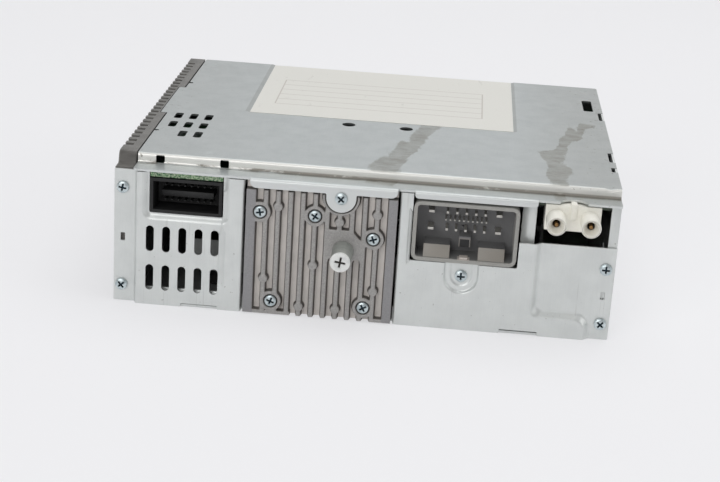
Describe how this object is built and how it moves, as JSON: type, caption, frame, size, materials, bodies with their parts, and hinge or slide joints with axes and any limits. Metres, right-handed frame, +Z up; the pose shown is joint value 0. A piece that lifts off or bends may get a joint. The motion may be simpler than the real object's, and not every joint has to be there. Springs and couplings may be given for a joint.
{
  "type": "car cd radio",
  "caption": "Slot-loading car disc radio: steel tray and cover, finned side casting, ribbed rear casting, plug sockets, circuit board and a working disc deck inside.",
  "frame": {"origin": "centre of the underside of the steel tray", "axes": "+X along the width, to the right for someone who faces the connectors; +Y from the connectors to the disc slot; +Z up"},
  "size_m": [0.18, 0.1742, 0.0548],
  "materials": {
    "zinc_steel": "zinc-plated pressed sheet, satin",
    "cover_steel": "zinc-plated cover sheet, satin, lightly grimed",
    "rear_casting": "bare die casting, warm grey",
    "side_casting": "bare die casting, darker and dusty",
    "bright_steel": "bright zinc-plated turned steel",
    "pin_grey": "cast, greenish grey",
    "grey_plastic": "moulded grey plastic, satin",
    "black_plastic": "moulded black plastic, satin",
    "white_plastic": "moulded off-white plastic",
    "board_green": "green solder-resist glass-fibre board",
    "tin": "tinned sheet",
    "brass": "turned brass",
    "ferrite": "coil-wound ferrite ring, plain",
    "black_rubber": "soft black rubber",
    "label_paper": "blank off-white label film",
    "lens_glass": "clear lens with a blue tint"
  },
  "bodies": {
    "case": {"chassis_tray": "zinc_steel", "side_heat_sink": "side_casting", "rear_heat_sink": "rear_casting", "rear_panel_left": "zinc_steel", "rear_panel_right": "zinc_steel", "top_cover": "cover_steel", "top_label": "label_paper", "locating_pin": "pin_grey", "locating_pin_screw": "bright_steel", "panel_screw_1": "bright_steel", "panel_screw_2": "bright_steel", "panel_screw_3": "bright_steel", "panel_screw_4": "bright_steel", "heat_sink_screw_1": "bright_steel", "heat_sink_screw_2": "bright_steel", "heat_sink_screw_3": "bright_steel", "heat_sink_screw_4": "bright_steel", "heat_sink_screw_5": "bright_steel", "bracket_screw": "bright_steel", "cover_screw": "bright_steel", "connector_bracket": "zinc_steel", "main_connector": "grey_plastic", "display_connector": "black_plastic", "antenna_connector": "white_plastic", "main_board": "board_green", "amplifier_chip": "black_plastic", "amplifier_clamp": "zinc_steel", "filter_capacitor_1": "black_plastic", "filter_capacitor_2": "black_plastic", "filter_capacitor_3": "black_plastic", "filter_choke": "ferrite", "tuner_module": "tin", "processor_chip": "black_plastic", "front_bezel": "black_plastic", "deck_frame": "zinc_steel", "deck_damper_1": "black_rubber", "deck_damper_2": "black_rubber", "deck_damper_3": "black_rubber", "deck_damper_4": "black_rubber", "spindle_motor": "bright_steel", "guide_rod_left": "bright_steel", "guide_rod_right": "bright_steel", "sled_motor": "bright_steel", "loading_motor": "bright_steel"},
    "turntable": {"turntable": "black_plastic"},
    "clamp_arm": {"clamp_arm": "zinc_steel"},
    "clamp_disc": {"clamp_disc": "white_plastic"},
    "sled": {"pickup_sled": "black_plastic", "pickup_lens": "lens_glass"},
    "lead_screw": {"lead_screw": "bright_steel"},
    "roller": {"roller_shaft": "bright_steel", "roller_sleeve": "black_rubber", "roller_gear": "white_plastic"},
    "compound_gear": {"compound_gear": "white_plastic"},
    "loading_worm": {"loading_worm": "brass"},
    "disc_guide": {"disc_guide": "black_plastic"},
    "slot_flap": {"slot_flap": "black_plastic"}
  },
  "joints": [
    {"name": "turntable_spin", "type": "hinge", "parent": "case", "child": "turntable", "pos_m": [0, 0.00985, 0.024], "axis": [0, 0, 1], "continuous": true},
    {"name": "clamp_arm_tilt", "type": "hinge", "parent": "case", "child": "clamp_arm", "pos_m": [0, -0.04815, 0.0305], "axis": [-1, 0, 0], "range_deg": [0, 7]},
    {"name": "clamp_disc_spin", "type": "hinge", "parent": "clamp_arm", "child": "clamp_disc", "pos_m": [0, 0.00948, 0.03707], "axis": [0, -0.1219, 0.9925], "continuous": true},
    {"name": "sled_slide", "type": "slide", "parent": "case", "child": "sled", "axis": [0, -1, 0], "range_m": [0, 0.033]},
    {"name": "lead_screw_spin", "type": "hinge", "parent": "case", "child": "lead_screw", "pos_m": [0.029, -0.05985, 0.014], "axis": [0, 1, 0], "continuous": true},
    {"name": "loading_roller_spin", "type": "hinge", "parent": "case", "child": "roller", "pos_m": [0, 0.06385, 0.0224], "axis": [1, 0, 0], "continuous": true},
    {"name": "compound_gear_spin", "type": "hinge", "parent": "case", "child": "compound_gear", "pos_m": [0.0658, 0.05466, 0.01469], "axis": [1, 0, 0], "continuous": true},
    {"name": "worm_spin", "type": "hinge", "parent": "case", "child": "loading_worm", "pos_m": [0.0725, 0.05466, 0.02319], "axis": [0, 1, 0], "continuous": true},
    {"name": "disc_guide_tilt", "type": "hinge", "parent": "case", "child": "disc_guide", "pos_m": [0, 0.03985, 0.0335], "axis": [-1, 0, 0], "range_deg": [0, 8]},
    {"name": "slot_flap_swing", "type": "hinge", "parent": "case", "child": "slot_flap", "pos_m": [0, 0.07535, 0.0316], "axis": [-1, 0, 0], "range_deg": [0, 75], "stiffness_Nm_per_rad": 0.0004}
  ],
  "couplings": [
    {"joint": "lead_screw_spin", "follows": "sled_slide", "rad_per_m": 2094.4},
    {"joint": "loading_roller_spin", "follows": "worm_spin", "ratio": 0.0625},
    {"joint": "compound_gear_spin", "follows": "worm_spin", "ratio": -0.041667}
  ]
}
